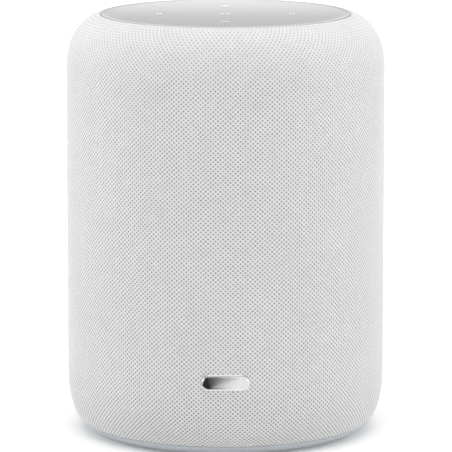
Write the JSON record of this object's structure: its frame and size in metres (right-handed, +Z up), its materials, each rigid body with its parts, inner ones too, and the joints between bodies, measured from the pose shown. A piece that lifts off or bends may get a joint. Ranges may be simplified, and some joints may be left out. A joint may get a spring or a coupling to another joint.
{
  "type": "smart speaker",
  "caption": "Fabric-covered cylindrical smart speaker with rounded shoulders, a round touch panel on top and a connector recess at the back",
  "frame": {"origin": "middle of the foot ring's underside", "axes": "+Z up along the speaker's height, the front with the nameplate faces -Y, +X to the right seen from the front"},
  "size_m": [0.146, 0.147, 0.193],
  "materials": {
    "rubber_grey": "matte",
    "plastic_dark": "matte",
    "plastic_grey": "matte",
    "panel_grey": "satin",
    "icon_white": "gloss",
    "fabric_grey": "woven",
    "chrome_bright": "polished",
    "steel": "satin",
    "ferrite": "matte",
    "board_green": "satin",
    "copper": "satin",
    "rubber_black": "matte",
    "aluminium": "satin",
    "paper_black": "matte",
    "cloth_amber": "woven",
    "wadding_white": "soft",
    "wire_red": "matte",
    "wire_brown": "matte",
    "film_white": "satin",
    "silk_grey": "satin"
  },
  "bodies": {
    "housing": {"foot_ring": "rubber_grey", "base_plate": "plastic_grey", "base_screws": "steel", "lower_chassis": "plastic_dark", "grille_frame": "plastic_grey", "fabric_sleeve": "fabric_grey", "badge": "chrome_bright", "top_panel": "panel_grey", "touch_icons": "icon_white", "top_chassis": "plastic_dark", "light_guides": "icon_white", "touch_board": "board_green", "microphones": "steel", "main_board": "board_green", "shield_can": "steel", "antennas": "copper", "ribbon_cable": "film_white", "front_baffle": "plastic_dark", "rear_enclosure": "plastic_dark", "enclosure_gasket": "rubber_black", "enclosure_screws": "steel", "wadding": "wadding_white", "woofer_basket": "plastic_grey", "woofer_top_plate": "steel", "woofer_magnet": "ferrite", "woofer_yoke": "steel", "woofer_surround": "rubber_black", "woofer_spider": "cloth_amber", "driver_screws": "steel", "tweeter_faceplate": "plastic_dark", "tweeter_magnet": "ferrite", "power_board": "board_green", "transformer": "cloth_amber", "capacitors": "film_white", "amplifier_board": "board_green", "heat_sink": "aluminium", "connector_panel": "plastic_grey", "mains_inlet": "plastic_dark", "inlet_pins": "steel", "mains_leads": "wire_brown", "connector_board": "board_green", "audio_jack": "plastic_dark", "usb_port": "steel", "button_switch": "plastic_dark", "switch_body": "plastic_dark", "lead_grommet": "rubber_black", "speaker_leads": "wire_red"},
    "cone": {"voice_coil": "copper", "woofer_cone": "paper_black", "dust_cap": "paper_black"},
    "dome": {"tweeter_dome": "silk_grey"},
    "button": {"setup_button": "plastic_grey"},
    "slider": {"microphone_switch": "icon_white"}
  },
  "joints": [
    {"name": "cone_slide", "type": "slide", "parent": "housing", "child": "cone", "axis": [0, -1, 0], "range_m": [-0.004, 0.004], "stiffness_N_per_m": 1200, "deforming": ["woofer_surround", "woofer_spider"]},
    {"name": "dome_slide", "type": "slide", "parent": "housing", "child": "dome", "axis": [0, -1, 0], "range_m": [-0.0003, 0.0003], "stiffness_N_per_m": 3000},
    {"name": "setup_button_press", "type": "slide", "parent": "housing", "child": "button", "axis": [0, -1, 0], "range_m": [0, 0.0007], "stiffness_N_per_m": 1500},
    {"name": "microphone_switch_slide", "type": "slide", "parent": "housing", "child": "slider", "axis": [0, 0, 1], "range_m": [0, 0.003]}
  ]
}
